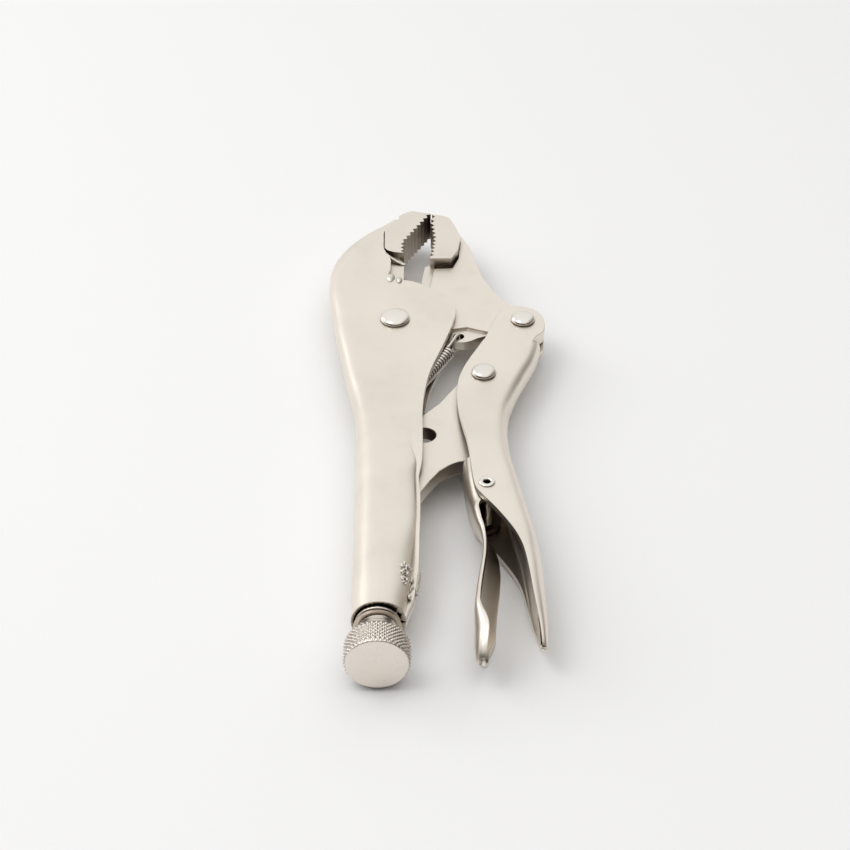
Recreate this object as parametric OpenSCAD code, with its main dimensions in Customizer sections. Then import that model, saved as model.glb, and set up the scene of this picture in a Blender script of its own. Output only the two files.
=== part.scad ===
// Locking pliers, curved jaws, 240 mm long, modelled locked and lying on their side.
//
// The working drawing has the main pivot at x = 0, y = 0 and the middle of the
// thickness at z = 0. y runs towards the jaws, x towards the hand lever and z along
// the rivets. place() moves the drawing so that the origin is at the centre of the
// bottom of the closed tool. A station gives its distance behind the main pivot.

/* [Sheet and plates] */
// Thickness of the pressed steel sheet of the body and the hand lever
sheet = 2.1; // [1.8:0.1:2.2]
// Thickness of the sheet folded round the moving jaw
jaw_sheet = 1.65; // [1.4:0.05:1.65]
// Thickness of the sheet of the release lever
release_sheet = 1.6; // [1.2:0.1:1.8]
// Thickness of the toggle link
link_t = 5.2; // [4.6:0.1:5.2]
// Thickness of the moving jaw where it runs inside the body
jaw_t = 5.2; // [4.8:0.1:5.2]
// Thickness of both toothed jaw heads
head_t = 10.8; // [10.4:0.1:11]
// Space between the two side walls of the body and of the lever's front
slot = 5.8; // [5.8:0.1:6]

/* [Jaw teeth] */
// Number of teeth on each jaw
teeth = 11; // [8:1:14]
// Depth of one tooth
tooth_depth = 1.25; // [0.6:0.05:1.5]

/* [Pivots] */
// Moving jaw's lever pivot, to the right of the main pivot
lever_pivot_x = 44.3; // [44:0.1:44.6]
// Toggle pivot, to the right of the main pivot
toggle_pivot_x = 30.2; // [30:0.1:30.4]
// Toggle pivot, behind the main pivot
toggle_pivot_s = 32; // [31.8:0.1:32.2]
// Shank radius of the main rivet
main_rivet_r = 3.4; // [3:0.1:3.6]
// Shank radius of the lever and toggle rivets
small_rivet_r = 2.7; // [2.4:0.1:2.9]
// Radius of the main rivet's head
main_head_r = 5.15; // [4.8:0.05:5.4]
// Radius of the small rivets' heads
small_head_r = 4.15; // [3.8:0.05:4.4]
// Height of a rivet's head
rivet_head_h = 1.9; // [1.5:0.1:2.2]
// Running clearance, on the radius, of a turning hole on its pin
running = 0.05; // [0.03:0.01:0.08]

/* [Tube and adjusting screw] */
// Outside radius of the rolled tube
tube_r = 8.2; // [8:0.1:8.2]
// Radius of the tube's open mouth
mouth_r = 7; // [6.8:0.05:7.2]
// Major radius of the screw's thread
thread_r = 5.95; // [5.8:0.05:6]
// Pitch of the thread
pitch = 1.75; // [1.5:0.25:2]
// Radius over the knob's knurl
knob_r = 10.25; // [10:0.05:10.3]
// Length of the knob
knob_len = 9.8; // [9:0.1:9.8]

/* [Tension spring] */
// Outside radius of the coil
coil_r = 2.6; // [2.4:0.1:2.7]
// Wire diameter
wire_d = 1.1; // [0.9:0.1:1.1]
// Number of turns
turns = 37; // [30:1:40]

/* [Hidden] */
$fn = 64;
half_slot = slot / 2;
wall_z = half_slot + sheet;
lever_w = 10.2;
flange_t = 0.6;
centre = [14.15, -51.9];
rest_height = lever_w + flange_t;
lever_pivot = [lever_pivot_x, -0.6];
toggle_pivot = [toggle_pivot_x, -toggle_pivot_s];
release_pivot = [30, -98];
tube_x = -3.9;
tube_end = 153.4;
knob_front = 162.8;
screw_tip = 119;
bore_start = 117;
// Where the tube turns thicker inside, to hold the thread, and by how much
thread_from = 119;
thread_wall = 0.6;
link_tail = [-3.8, -108];
spring_top = [22, -5.8];
spring_foot = [-9.6, -66];
// Hole for the spring's hook, slot in the spine for its tail, and how far that slot reaches out
spring_hole_r = 1.9;
spine_slot = [8, 6.5];
spine_slot_out = 5.4;
// Shank and bore of the eyelet that the release lever turns on
eyelet_r = 1.9;
eyelet_bore_r = 1.1;
// Plain end of the screw that is pressed into the knob
spigot_r = 4.4;
spigot_len = 5;
// How far the release lever's tail leans, per mm of height
tail_lean = 0.3;
steel = [0.86, 0.83, 0.78];
bright = [0.92, 0.91, 0.88];

// ---- shared helpers -------------------------------------------------------

module place() {
    translate([-centre[0], -centre[1], rest_height]) children();
}

// A flat plate of the given outline, centred on the middle of the thickness.
module plate(outline, t) {
    translate([0, 0, -t / 2]) linear_extrude(t) polygon(outline);
}

// A pin or a hole along z at a point of the drawing.
module pin(at, r, half) {
    translate([at[0], at[1], -half]) cylinder(h = 2 * half, r = r);
}

// The value columns of a station table at a distance s, on a smooth curve.
function hermite(p, q, mp, mq, h, u) =
    p * (2 * u * u * u - 3 * u * u + 1) + mp * h * (u * u * u - 2 * u * u + u)
    + q * (3 * u * u - 2 * u * u * u) + mq * h * (u * u * u - u * u);
function below(t, s) = max([0, for (i = [0 : len(t) - 2]) if (t[i][0] <= s) i]);
function slope(t, i, c) =
    let (a = t[max(i - 1, 0)], b = t[min(i + 1, len(t) - 1)]) (b[c] - a[c]) / (b[0] - a[0]);
function station(t, s) =
    let (k = below(t, s), a = t[k], b = t[k + 1], h = b[0] - a[0], u = (s - a[0]) / h)
    [for (c = [1 : len(a) - 1]) hermite(a[c], b[c], slope(t, k, c), slope(t, k + 1, c), h, u)];

// Half of a pressed channel's section, from the middle of its back to its rim:
// back at x = web, rim at x = rim, half width w, corner radii rx along x, rz along z.
function half_channel(web, rim, w, rx, rz, n = 5) =
    let (d = sign(rim - web))
    concat([[web, 0]],
           [for (i = [0 : n]) [web + d * rx * (1 - cos(90 * i / n)),
                               w - rz + rz * sin(90 * i / n)]],
           [[rim, w]]);
function mirrored(h) = concat([for (i = [len(h) - 1 : -1 : 1]) h[i]],
                              [for (p = h) [p[0], -p[1]]]);
function reversed(l) = [for (i = [len(l) - 1 : -1 : 0]) l[i]];

// The closed ring of a channel's section at one station.
function channel_ring(v, t) =
    let (web = v[0], rim = v[1], w = v[2], rx = v[3], rz = v[4], d = sign(rim - web),
         depth = abs(rim - web), tz = min(t, w / 2), tx = min(t, depth - 0.45))
    concat(mirrored(half_channel(web, rim, w, min(rx, depth - 0.2), rz)),
           reversed(mirrored(half_channel(web + d * tx, rim, w - tz, max(min(rx, depth - 0.2) - tx, 0.2),
                                          max(rz - tz, 0.1)))));

// A solid through rings of equal length, one ring for each distance in stops.
module loft(rings, stops) {
    n = len(rings[0]);
    last = len(rings) - 1;
    points = [for (i = [0 : last]) for (p = rings[i]) [p[0], -stops[i], p[1]]];
    sides = [for (i = [0 : last - 1]) for (j = [0 : n - 1]) for (half = [0, 1])
             let (a = i * n + j, b = i * n + (j + 1) % n, c = b + n, e = a + n)
             half == 0 ? [a, b, c] : [a, c, e]];
    ends = [for (j = [0 : n / 2 - 2]) each
            let (a = j, b = j + 1, c = n - 2 - j, e = n - 1 - j, k = last * n)
            [[a, c, b], [a, e, c], [k + a, k + b, k + c], [k + a, k + c, k + e]]];
    polyhedron(points, concat(sides, ends), convexity = 10);
}

// A pressed channel from a station table.
module channel(table, stops, t) {
    loft([for (s = stops) channel_ring(station(table, s), t)], stops);
}

// A round-headed rivet through everything between two outer faces.
module rivet(at, r, head_r, half) {
    translate([at[0], at[1], 0]) {
        translate([0, 0, -half]) cylinder(h = 2 * half, r = r);
        for (m = [0, 1]) mirror([0, 0, m]) translate([0, 0, half]) rivet_head(head_r);
    }
}

module rivet_head(head_r) {
    edge = 0.7;
    dome = rivet_head_h - edge;
    ball = (head_r * head_r + dome * dome) / (2 * dome);
    rotate_extrude() union() {
        square([head_r, edge]);
        intersection() {
            translate([0, rivet_head_h - ball]) circle(ball, $fn = 180);
            square([head_r, rivet_head_h]);
        }
    }
}

// Turns a shape drawn along z to run along y, from a distance s towards the jaws.
module along_tube(s) {
    translate([tube_x, -s, 0]) rotate([-90, 0, 0]) children();
}

// Points of a row of teeth from a to b, cut to the right of that direction.
function tooth_row(a, b, count) =
    let (step = (b - a) / count, n = [step[1], -step[0]] / norm(step))
    [for (i = [0 : count - 1]) for (k = [0, 1])
     k == 0 ? a + step * i : a + step * (i + 0.5) + n * tooth_depth];

// ---- body ------------------------------------------------------------------

// Distance, spine x, edge x, half width, corner radii, back thickness, fall start,
// lip start and lip half height. The lips are the two edges of the rolled tube.
body_table = [
    [-63.5, -2.4, 0.7, 5, 2, 4.2, 1.7, -1.2, -0.6, 5],
    [-60, -6.3, -1.7, 5, 3, 4.4, 2.4, -3, -2.4, 5],
    [-56, -10.8, -4.3, 5, 3.4, 4.4, 2.9, -6.2, -5.2, 5],
    [-50, -16.2, -4.5, 5, 4, 4.4, 2.7, -6.6, -5.4, 5],
    [-44, -19.8, -4.3, 5, 4.4, 4.4, 2.5, -6.6, -5.4, 5],
    [-38, -22.2, -2, 5, 4.6, 4.4, 2.2, -6, -4, 5],
    [-32, -23.3, -1.9, 5, 4.6, 4.4, 2.1, -6, -4, 5],
    [-25, -23.5, -1.8, 5, 4.6, 4.4, 2.1, -6, -4, 5],
    [-23.6, -23.5, 5.2, 5, 4.6, 4.4, 2.1, -6, -4, 5],
    [-19.5, -23.3, 12, 5, 4.6, 4.4, 2.1, -6, -4, 5],
    [-14.2, -22.8, 18.4, 5, 4.6, 4.4, 2.1, -6, -4, 5],
    [-9, -22.1, 20.6, 5, 4.6, 4.4, 2.1, -6, -4, 5],
    [-4, -21.4, 21, 5, 4.6, 4.4, 2.1, -6, -4, 5],
    [0, -21, 20.4, 5, 4.6, 4.4, 2.1, -6, -4, 5],
    [7, -20.2, 18.9, 5, 4.6, 4.4, 2.1, -4, 0, 5],
    [19, -18.2, 15.5, 5, 4.6, 4.4, 2.1, -2, 6, 5],
    [31, -16.4, 12.1, 5.2, 5, 4.6, 2.1, 0, 6, 5.2],
    [42, -14.4, 10.4, 5.7, 5.4, 5, 2.1, 0, 6, 5.7],
    [53, -12.9, 9.6, 6.4, 6, 5.6, 2.1, 0, 6, 6.4],
    [64, -12.2, 9.6, 7.2, 6.8, 6.6, 2.1, 0, 6, 7.1],
    [75, tube_x - tube_r, 9.6, 7.8, 7.8, 7.4, 2.1, 0, 6, 7.1],
    [82, tube_x - tube_r, 9.3, 8.1, 8.1, 8, 2.1, -1, 7.6, 6.4],
    [88, tube_x - tube_r, 8.4, tube_r, tube_r, tube_r - 0.05, 2.1, -2, 7.5, 5],
    [96, tube_x - tube_r, 8.8, tube_r, tube_r, tube_r - 0.05, 2.1, -2.6, 7.7, 5],
    [106, tube_x - tube_r, 8.9, tube_r, tube_r, tube_r - 0.05, 2.1, -3, 7.8, 5],
    [115, tube_x - tube_r, 8.7, tube_r, tube_r, tube_r - 0.05, 2.1, -3.4, 7.5, 5],
    [126, tube_x - tube_r, 8.5, tube_r, tube_r, tube_r - 0.05, 2.1, -3.6, 7.2, 2.6],
    [130, tube_x - tube_r, 8.4, tube_r, tube_r, tube_r - 0.05, 2.1, -3.6, 7, 2.3],
    [136, tube_x - tube_r, 7.9, tube_r, tube_r, tube_r - 0.05, 2.1, -3.6, 6.4, 2.3],
    [145, tube_x - tube_r, 6.9, tube_r, tube_r, tube_r - 0.05, 2.1, -3.6, 5.4, 2.3],
    [150, tube_x - tube_r, 5.4, tube_r, tube_r, tube_r - 0.05, 2.1, -3.6, 4.6, 2.3],
    [154, tube_x - tube_r, 4.6, tube_r, tube_r, tube_r - 0.05, 2.1, -3.6, 4.2, 2.3]];

// Half of the body's section, from the middle of its spine: round to the flat wall, then a
// quarter ellipse down to the lip.
function half_body(web, rim, w, rx, rz, fall, lip, lip_z, n = 4, m = 5) =
    let (from = max(web + rx + 0.15, min(fall, rim - 0.9)), to = min(max(lip, from + 0.2), rim - 0.3))
    concat([[web, 0]],
           [for (i = [0 : n]) [web + rx * (1 - cos(90 * i / n)), w - rz + rz * sin(90 * i / n)]],
           [for (j = [0 : m]) let (a = 90 * j / m)
            [from + (to - from) * sin(a), lip_z + (w - lip_z) * cos(a)]],
           [[rim, lip_z]]);
function body_ring(v, t) =
    concat(mirrored(half_body(v[0], v[1], v[2], v[3], v[4], v[6], v[7], v[8])),
           reversed(mirrored(half_body(v[0] + max(v[5], t), v[1], v[2] - t, max(v[3] - t, 0.3),
                                       max(v[4] - t, 0.3), v[6], v[7] - t, max(v[8] - t, 0.2)))));

module body_shell() {
    stops = concat([-63.5, -61, -58.5, -56, -53, -50, -47, -44, -41, -38, -35, -32, -28, -25,
                    -24.2, -23.6, -21.5, -19.5, -17, -14.2, -11.5, -9, -6.5, -4, 0, 4, 8],
                   [for (s = [13 : 6 : 79]) s], [82, 85, 88, 92, 96, 101, 106, 111, 115, 119],
                   [122.5, 126, 130, 136, 140, 145, 150, tube_end]);
    color(steel) place() difference() {
        loft([for (s = stops)
              body_ring(station(body_table, s), s > thread_from ? sheet + thread_wall : sheet)], stops);
        pin([0, 0], main_rivet_r, wall_z + 2);
        along_tube(tube_end + 1) cylinder(h = tube_end + 1 - bore_start, r = thread_r + running);
        along_tube(tube_end + 1) cylinder(h = 4, r = mouth_r);
        translate([spring_foot[0] - spine_slot_out, spring_foot[1] - 2, -wire_d])
            cube([spine_slot[0], spine_slot[1], 2 * wire_d]);
    }
}

// The run of weld that closes the outer edges of the two lips, half round and squashed.
module seam_weld() {
    bead_r = 2;
    run = [131.5, 140.5];
    reach = 0.6;
    gap = 0.08;
    edge = [for (s = run) station(body_table, s)[1] + gap];
    length = norm([edge[1] - edge[0], run[1] - run[0]]);
    color(steel) place() translate([edge[1], -run[1], 0])
        rotate([0, 0, -atan2(edge[0] - edge[1], run[1] - run[0])]) rotate([-90, 0, 0])
        scale([reach, 1, 1]) intersection() {
            cylinder(h = length, r = bead_r);
            translate([0, -2 * bead_r, 0]) cube([2 * bead_r, 4 * bead_r, length]);
        }
}

// ---- fixed jaw -------------------------------------------------------------

fixed_bite = [[12.5, 66.6], [2.9, 48], [2.9, 41]];

module fixed_jaw() {
    upper = tooth_row(fixed_bite[0], fixed_bite[1], teeth - 3);
    lower = tooth_row(fixed_bite[1], fixed_bite[2], 3);
    head = concat([[0.9, 65.4], [3, 67.4], [5.6, 68.8], [12.3, 67]],
                  upper, lower,
                  [[2.9, 41], [-0.4, 41.5], [-3.1, 42.8], [-4.1, 44.5], [-4.2, 55.8], [-2.6, 58.4],
                   [-0.8, 61.1], [0.9, 63.6]]);
    tang = [[0.6, 63.4], [-1.8, 61], [-4, 58.5], [-6.4, 56], [-9, 53], [-11.4, 50], [-14.8, 44],
            [-17.3, 38], [-18.5, 31], [-18.7, 24], [-17, 17], [-10, 13], [-2, 15], [1.5, 21],
            [2.9, 24], [2.9, 38], [1.2, 41], [1.4, 48], [5.4, 60]];
    color(steel) place() {
        plate(head, head_t);
        plate(tang, slot);
    }
}

// Two drops of weld on each side, each [x, y, radius], where the jaw meets the body's edge.
module jaw_weld_beads() {
    drops = [[0.3, 27.2, 2], [1.55, 25.95, 1.25]];
    color(bright) place() for (m = [0, 1]) mirror([0, 0, m]) {
        for (b = drops)
            translate([b[0], b[1], half_slot]) rotate_extrude() intersection() {
                circle(b[2]);
                square(b[2]);
            }
    }
}

module main_pivot_rivet() {
    color(bright) place() rivet([0, 0], main_rivet_r, main_head_r, wall_z);
}

// ---- adjusting screw -------------------------------------------------------

module adjusting_screw() {
    length = knob_front - screw_tip;
    depth = pitch * 0.5;
    count = floor((length - 3) / pitch);
    run_out = 0.8;
    // Where a ring of thread starts, reaches its crest and leaves it, in pitches
    flank = [0, 0.42, 0.58];
    color(steel) place() along_tube(knob_front) rotate_extrude() polygon(concat(
        [[0, -spigot_len], [spigot_r, -spigot_len], [spigot_r, 0], [thread_r - depth, 0],
         [thread_r - depth, run_out / 2]],
        [for (i = [0 : count - 1]) for (k = [0 : 2])
         [k == 0 ? thread_r - depth : thread_r, run_out + pitch * (i + flank[k])]],
        [[thread_r - depth, run_out + pitch * count], [thread_r - 1.6, length - 0.4],
         [thread_r - 2.4, length], [0, length]]));
}

module adjusting_knob() {
    edge = 0.65;
    end = knob_front + knob_len;
    color(steel) place() along_tube(end) difference() {
        rotate_extrude() polygon([[0, 0], [knob_r - edge, 0], [knob_r, edge],
                                  [knob_r, knob_len - 1.4], [knob_r - 1.2, knob_len], [0, knob_len]]);
        translate([0, 0, knob_len - spigot_len]) cylinder(h = spigot_len + 1, r = spigot_r + running);
    }
}

// ---- moving jaw ------------------------------------------------------------

moving_bite = [[12.85, 66.5], [12.45, 60.5], [13.4, 50], [12.2, 38.6]];

module moving_jaw_shell() {
    back = [[21.6, 59.9], [24.2, 54.6], [26.7, 48], [28.7, 39.4], [30.7, 29.6], [34.2, 21.4],
            [38, 15.2], [42, 8.4]];
    eye = [for (a = [80 : -20 : -100]) lever_pivot + 7.4 * [cos(a), sin(a)]];
    under = [[37, -5.6], [30, -3.4], [25, -1.4], [20, -2.6], [12, -6]];
    hub = [for (a = [-60 : -20 : -200]) 9 * [cos(a), sin(a)]];
    inside = [[-7, 8], [0, 13.5], [9, 17], [12.2, 23], [13.3, 32], [13.7, 34.8], [20.3, 35.3],
              [22.5, 41.8], [22.6, 45], [23.3, 52], [21, 60]];
    tab = [[37, -4], [31, -5.6], [28.4, -6.8], [26.4, -8.3], [24.4, -9.2], [22.2, -9.3],
           [20.2, -8.75], [12, -8.2], [7, -6], [12, -3], [20, 1], [30, 0]];
    color(steel) place() difference() {
        union() {
            plate(concat(back, eye, under, hub, inside), jaw_t);
            plate(tab, 2 * jaw_sheet);
        }
        plate([[10, 18.6], [24, 22], [27.8, 32], [25, 46], [24.2, 52], [22.5, 56], [14, 60], [10, 40]],
              jaw_t - 2 * jaw_sheet);
        pin([0, 0], main_rivet_r + running, jaw_t);
        pin(lever_pivot, small_rivet_r + running, jaw_t);
        pin(spring_top, spring_hole_r, jaw_t);
    }
}

module moving_jaw_insert() {
    heel = tooth_row(moving_bite[3], moving_bite[2], 5);
    middle = tooth_row(moving_bite[2], moving_bite[1], teeth - 7);
    tip = tooth_row(moving_bite[1], moving_bite[0], 2);
    head = concat(heel, middle, tip,
                  [[12.9, 66.7], [17.3, 65.4], [19.3, 64], [20.8, 60.2], [23.2, 52], [22.2, 43],
                   [19.8, 37.4], [12.2, 37.4]]);
    tang_t = jaw_t - 2 * jaw_sheet - 0.04;
    throat_t = 3.4;
    color(steel) place() {
        plate(head, head_t);
        plate([[16, 60], [22, 55.6], [24.8, 46], [27.6, 32], [23.8, 22.4], [13.6, 19.8],
               [12.4, 28], [12.4, 36], [15.2, 39], [15.6, 50]], tang_t);
        plate([[12.6, 38.5], [13.9, 37.3], [13.2, 32], [12.1, 23], [9.4, 20], [9.2, 28], [10.4, 37.4]],
              throat_t);
    }
}

// ---- hand lever ------------------------------------------------------------

// Distance, back x, rim x, half width and corner radii of the hand lever.
lever_table = [
    [12, 50, 30.6, 5, 3.6, 4.4], [17, 49.1, 28.4, 5, 3.8, 4.4], [23, 47.4, 25.7, 5, 4, 4.4],
    [29, 45, 23.4, 5, 4.2, 4.4], [35, 42.8, 21.8, 5, 4.4, 4.5], [39, 41.4, 21.4, 5, 4.4, 4.6],
    [44, 39.9, 21.1, 5.4, 4.4, 4.8],
    [50, 38.4, 21.2, 6, 4.4, 5], [57, 37.7, 21.8, 6.9, 4.6, 5.4], [64, 37.5, 22.7, 7.9, 4.8, 6],
    [72, 37.8, 23.8, 9, 5, 6.4], [80, 38.5, 24.6, 9.9, 5, 6.8], [88, 39.8, 25.1, 10.2, 5, 7],
    [97, 41.3, 25.9, 10.2, 5, 7], [101, 42, 26.8, 10.2, 5, 7], [105, 42.7, 29.2, 10.2, 5, 7],
    [110, 43.6, 32.3, 10.2, 5, 7.2], [116, 44.8, 35.6, 10.2, 5, 7.6], [122, 45.7, 38.4, 10.2, 5, 8],
    [128, 46.3, 40.4, 10.1, 5, 8.4], [134, 46.8, 41.5, 9.9, 4.8, 8.8], [141, 47.1, 42.4, 9.3, 4.4, 9],
    [148, 47.4, 43.2, 8.3, 4, 8.1], [155, 47.5, 44.2, 6.7, 3.1, 6.5], [160, 47.4, 45, 5, 2.3, 4.8],
    [163, 47.2, 45.3, 3.4, 1.8, 3.2], [164.6, 47, 45.4, 1.9, 1.5, 1.7], [165.2, 46.9, 45.4, 0.9, 1.4, 0.8]];

module lever_shell() {
    ear = [[30.2, -13.6], [32.8, -5.5], [35.2, 2], [36.6, 5.4], [38.6, 7.3], [41.5, 8], [44.5, 7.9],
           [47.4, 6.6], [49.8, 4.3], [51.3, 1.2], [51.8, -2.4], [51.6, -6], [50.5, -8.4], [48.6, -10.2],
           [47.8, -12.2], [47, -13.6]];
    stops = concat([12, 14.5, 17, 20, 23, 26, 29, 32, 35, 38.5, 42], [for (s = [46 : 4 : 94]) s],
                   [97, 99, 101, 103, 105, 107.5, 110, 113, 116, 119, 122, 125, 128, 131, 134],
                   [137.5, 141, 144.5, 148, 151.5, 155, 158, 160, 162, 163, 164, 164.6, 165.2]);
    color(steel) place() difference() {
        union() {
            channel(lever_table, stops, sheet);
            for (m = [0, 1]) mirror([0, 0, m])
                translate([0, 0, half_slot + 0.02]) linear_extrude(sheet - 0.04) polygon(ear);
        }
        pin(lever_pivot, small_rivet_r, wall_z + 1);
        pin(toggle_pivot, small_rivet_r, wall_z + 1);
        pin(release_pivot, eyelet_r, lever_w + 1);
    }
}

module lever_pivot_rivet() {
    color(bright) place() rivet(lever_pivot, small_rivet_r, small_head_r, wall_z);
}

module toggle_pivot_rivet() {
    color(bright) place() rivet(toggle_pivot, small_rivet_r, small_head_r, wall_z);
}

// The hollow rivet that the release lever turns on.
module release_eyelet() {
    color(bright) place() translate([release_pivot[0], release_pivot[1], 0]) difference() {
        union() {
            cylinder(h = 2 * lever_w, r = eyelet_r, center = true);
            for (m = [0, 1]) mirror([0, 0, m]) translate([0, 0, lever_w])
                rotate_extrude() polygon([[0, 0], [2.65, 0], [2.55, 0.35], [2.1, flange_t], [0, flange_t]]);
        }
        cylinder(h = 2 * lever_w + 4, r = eyelet_bore_r, center = true);
    }
}

// ---- toggle link and release lever ------------------------------------------

module toggle_link() {
    window = [9.9, -63.2];
    eye = [for (a = [150 : -25 : 0]) toggle_pivot + 6.6 * [cos(a), sin(a)]];
    heel = [[35.6, -44], [33.8, -58], [32.6, -70], [30.4, -76], [27.4, -77.4]];
    arch = [[24.3, -76.9], [21.4, -77.5], [18.4, -79.2], [15.2, -82.2], [12, -87.4], [9.2, -93],
            [5, -99.6], [1.6, -105]];
    tail = [for (a = [10 : -30 : -170]) link_tail + 4 * [cos(a), sin(a)]];
    top = [[-6.8, -98], [-3, -84], [1.6, -70], [4.6, -60], [9, -53], [15, -46], [21, -35.6]];
    color(steel) place() difference() {
        plate(concat(eye, heel, arch, tail, top), link_t);
        pin(toggle_pivot, small_rivet_r + running, link_t);
        pin(window, 4.1, link_t);
    }
}

// Distance, back x, rim x, half width and corner radii of the release lever.
release_table = [
    [81, 22.6, 32.6, 7.3, 3, 4.6], [84, 22.7, 34, 7.5, 3, 4.8], [90, 23.1, 34.6, 7.7, 3, 5],
    [97, 23.9, 34.8, 7.7, 3, 5], [100.5, 24.4, 33.8, 7.7, 3, 5.1], [102, 24.7, 31.4, 7.7, 3, 5.2],
    [103.6, 25, 28.6, 7.7, 3, 5.3], [106, 25.5, 28.2, 7.7, 3, 5.4], [110, 26.7, 29.6, 7.7, 3, 5.6],
    [115, 28.1, 30.9, 7.7, 3, 6], [119, 28.8, 31.4, 7.7, 2.9, 6.6], [124, 29.2, 31.6, 7.7, 2.8, 7.2],
    [130, 28.8, 31.4, 7.8, 3, 7.6], [138, 27.7, 30.6, 8, 3.5, 7.8], [145, 26.9, 29.9, 8.2, 4, 8],
    [152, 26.2, 29.5, 8.3, 4.4, 8.1], [158, 25.4, 29.7, 8.3, 4.7, 8.1], [163, 25, 29.6, 7.6, 4.6, 7.4],
    [167, 25.1, 29.2, 6.1, 4, 5.9], [169.6, 25.4, 28.8, 4.2, 3.2, 4], [171, 25.8, 28.4, 2.4, 2.4, 2.2],
    [171.7, 26.2, 28.2, 1, 1.9, 0.9]];

// Sideways lean of the release lever's tail, per mm of height, eased in and out.
function ease(u) = let (c = max(0, min(1, u))) c * c * (3 - 2 * c);
function lean(s) = tail_lean * ease((s - 100) / 14) * ease((164 - s) / 12);

module release_lever() {
    stops = concat([81, 84, 87, 90, 93.5, 97, 99, 100.5, 101.3, 102, 102.8, 103.6, 106, 108],
                   [110, 112.5, 115, 117, 119, 121.5, 124, 127],
                   [130, 134, 138, 141.5, 145, 148.5, 152, 155, 158, 160.5, 163, 165, 167, 168.5],
                   [169.6, 170.4, 171, 171.7]);
    color(steel) place() difference() {
        loft([for (s = stops)
              [for (p = channel_ring(station(release_table, s), release_sheet))
               [p[0] - lean(s) * p[1], p[1]]]], stops);
        pin(release_pivot, eyelet_r + running, lever_w);
    }
}

// ---- tension spring ----------------------------------------------------------

// A wire along a list of points, with a six-sided ring at every point.
module wire(path, r, sides = 6) {
    last = len(path) - 1;
    function way(i) = let (v = path[min(i + 1, last)] - path[max(i - 1, 0)]) v / norm(v);
    function ring(i) = let (t = way(i), a = abs(t[2]) < 0.8 ? [0, 0, 1] : [1, 0, 0],
                            u = cross(t, a) / norm(cross(t, a)), v = cross(t, u))
        [for (k = [0 : sides - 1]) path[i] + r * (u * cos(360 * k / sides) + v * sin(360 * k / sides))];
    points = [for (i = [0 : last]) each ring(i)];
    sides_list = [for (i = [0 : last - 1]) for (k = [0 : sides - 1]) for (half = [0, 1])
                  let (a = i * sides + k, b = i * sides + (k + 1) % sides, c = b + sides, e = a + sides)
                  half == 0 ? [a, c, b] : [a, e, c]];
    ends = [[for (k = [0 : sides - 1]) k], [for (k = [sides - 1 : -1 : 0]) last * sides + k]];
    polyhedron(points, concat(sides_list, ends), convexity = 20);
}

module tension_spring() {
    line = spring_foot - spring_top;
    length = norm(line);
    along = [line[0], line[1], 0] / length;
    side = [-along[1], along[0], 0];
    up = [0, 0, 1];
    mean = coil_r - wire_d / 2;
    start = [spring_top[0], spring_top[1], 0];
    hook_r = 3;
    coil_from = 7.5;
    coil_to = length - 6;
    per_turn = 8;
    // Hook through the jaw's tab, then the coil, then the straight tail to the spine.
    hook = [for (a = [-200 : 20 : 120]) start + along * (1.9 - hook_r * cos(a)) + up * hook_r * sin(a)];
    coil = [for (i = [0 : turns * per_turn])
            let (a = 360 * i / per_turn + 90,
                 f = coil_from + (coil_to - coil_from) * i / (turns * per_turn))
            start + along * f + side * mean * cos(a) + up * mean * sin(a)];
    tail = [for (f = [coil_to + 2, coil_to + 4, length, length + 2.2]) start + along * f];
    color(bright) place() wire(concat(hook, coil, tail), wire_d / 2);
}

body_shell();
fixed_jaw();
jaw_weld_beads();
seam_weld();
main_pivot_rivet();
adjusting_screw();
adjusting_knob();
moving_jaw_shell();
moving_jaw_insert();
lever_shell();
lever_pivot_rivet();
toggle_pivot_rivet();
release_eyelet();
toggle_link();
release_lever();
tension_spring();
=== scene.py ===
"""Locking pliers: the looks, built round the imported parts.

The working drawing is in millimetres, with the main pivot at x = 0, y = 0 and the middle of
the thickness at z = 0. y runs towards the jaws, x towards the hand lever. A station is a
distance behind the main pivot.
"""

import math
import random

import bmesh
import bpy
from mathutils import Matrix, Vector


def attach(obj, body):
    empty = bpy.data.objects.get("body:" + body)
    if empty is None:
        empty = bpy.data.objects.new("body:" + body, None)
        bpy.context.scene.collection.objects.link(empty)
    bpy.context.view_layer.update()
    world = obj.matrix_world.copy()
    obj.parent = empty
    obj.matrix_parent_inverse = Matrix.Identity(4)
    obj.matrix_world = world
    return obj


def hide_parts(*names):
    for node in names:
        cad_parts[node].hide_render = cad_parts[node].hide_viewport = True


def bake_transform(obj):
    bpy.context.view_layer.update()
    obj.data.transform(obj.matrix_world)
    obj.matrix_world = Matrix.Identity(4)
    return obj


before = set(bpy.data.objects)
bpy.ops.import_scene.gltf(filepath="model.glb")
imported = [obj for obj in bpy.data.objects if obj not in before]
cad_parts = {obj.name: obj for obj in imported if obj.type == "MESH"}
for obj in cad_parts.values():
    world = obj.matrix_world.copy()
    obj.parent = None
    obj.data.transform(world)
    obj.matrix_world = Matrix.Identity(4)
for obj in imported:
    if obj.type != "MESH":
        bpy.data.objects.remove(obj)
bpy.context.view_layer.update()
random.seed(7)

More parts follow.
